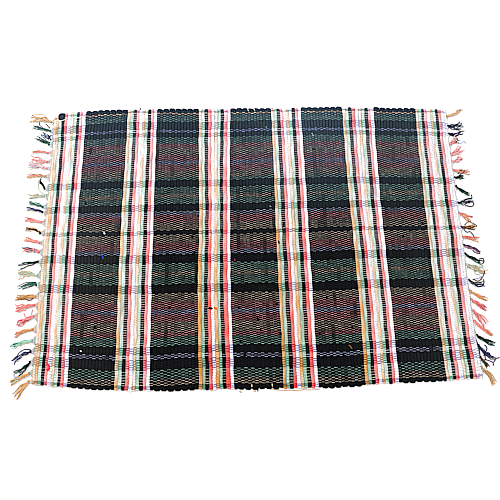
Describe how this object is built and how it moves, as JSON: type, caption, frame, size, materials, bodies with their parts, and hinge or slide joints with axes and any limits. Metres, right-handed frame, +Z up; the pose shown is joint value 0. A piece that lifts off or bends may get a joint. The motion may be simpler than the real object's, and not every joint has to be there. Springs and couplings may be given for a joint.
{
  "type": "cotton rag rug",
  "caption": "Flat rectangular woven cotton rag rug with ribbed face, lumpy selvedges and knotted yarn fringe at both ends.",
  "frame": {"origin": "middle of the rug's bounding box, fringe included, on the floor", "axes": "+X along the rug's length, from one fringed end to the other; +Y across it; +Z up from the floor"},
  "size_m": [0.9836, 0.6412, 0.0062],
  "materials": {
    "woven_cotton": "matt cotton rags in black, peach, mint, red and white across thin multicoloured cotton warp yarns",
    "fringe_yarn": "loose knotted cotton warp yarns in tan, red, green, black and navy"
  },
  "bodies": {
    "root": {"rug_cloth": "woven_cotton", "fringe_left": "fringe_yarn", "fringe_right": "fringe_yarn"}
  },
  "joints": []
}
